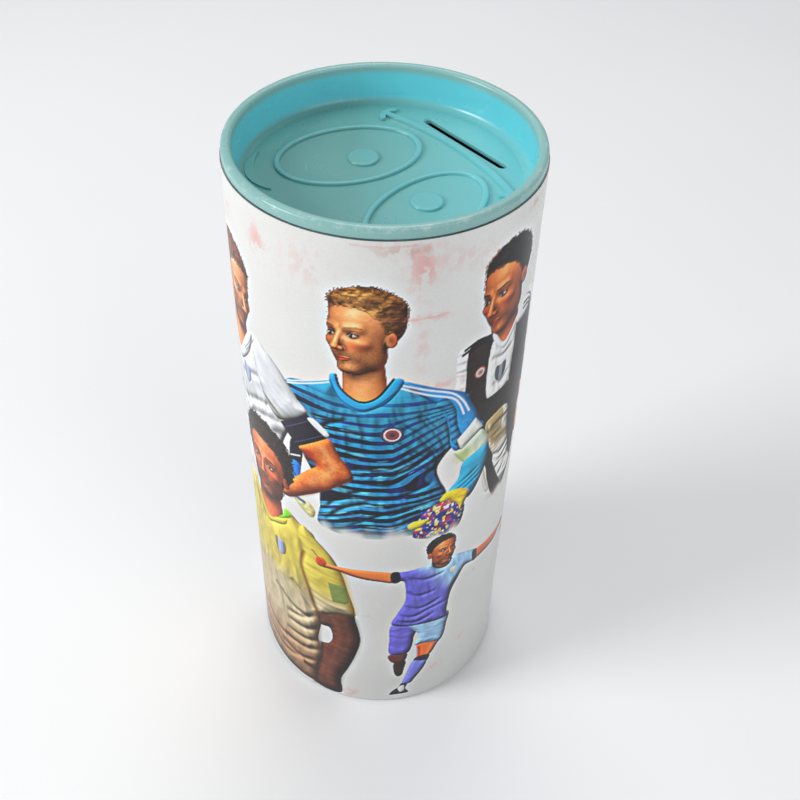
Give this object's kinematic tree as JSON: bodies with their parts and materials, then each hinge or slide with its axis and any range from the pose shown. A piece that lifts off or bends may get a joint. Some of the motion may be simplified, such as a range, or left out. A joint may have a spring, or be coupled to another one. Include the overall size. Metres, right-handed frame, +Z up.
{
  "type": "tin money box",
  "caption": "Tall round money box: printed tinplate tube, pressed base and a push-in plastic lid with a raised face and a coin slot in its sunken floor.",
  "frame": {"origin": "middle of the foot, on the surface that the money box stands on", "axes": "+Z up along the tube towards the lid, -Y the front with the main printed figure, +X to the right seen from the front"},
  "size_m": [0.075, 0.075, 0.1775],
  "materials": {
    "tinplate": "bright rolled tinplate, bare inside and along the foot",
    "tinplate_base": "bright pressed tinplate",
    "printed_wrap": "glossy printed wrap, white ground with painted footballers",
    "lid_plastic": "turquoise moulded plastic, soft gloss"
  },
  "bodies": {
    "can": {"tin_tube": "tinplate", "tin_base": "tinplate_base", "printed_wrap": "printed_wrap"},
    "lid": {"lid": "lid_plastic"}
  },
  "joints": [
    {"name": "lid_lift", "type": "slide", "parent": "can", "child": "lid", "axis": [0, 0, 1], "range_m": [0, 0.03]}
  ]
}
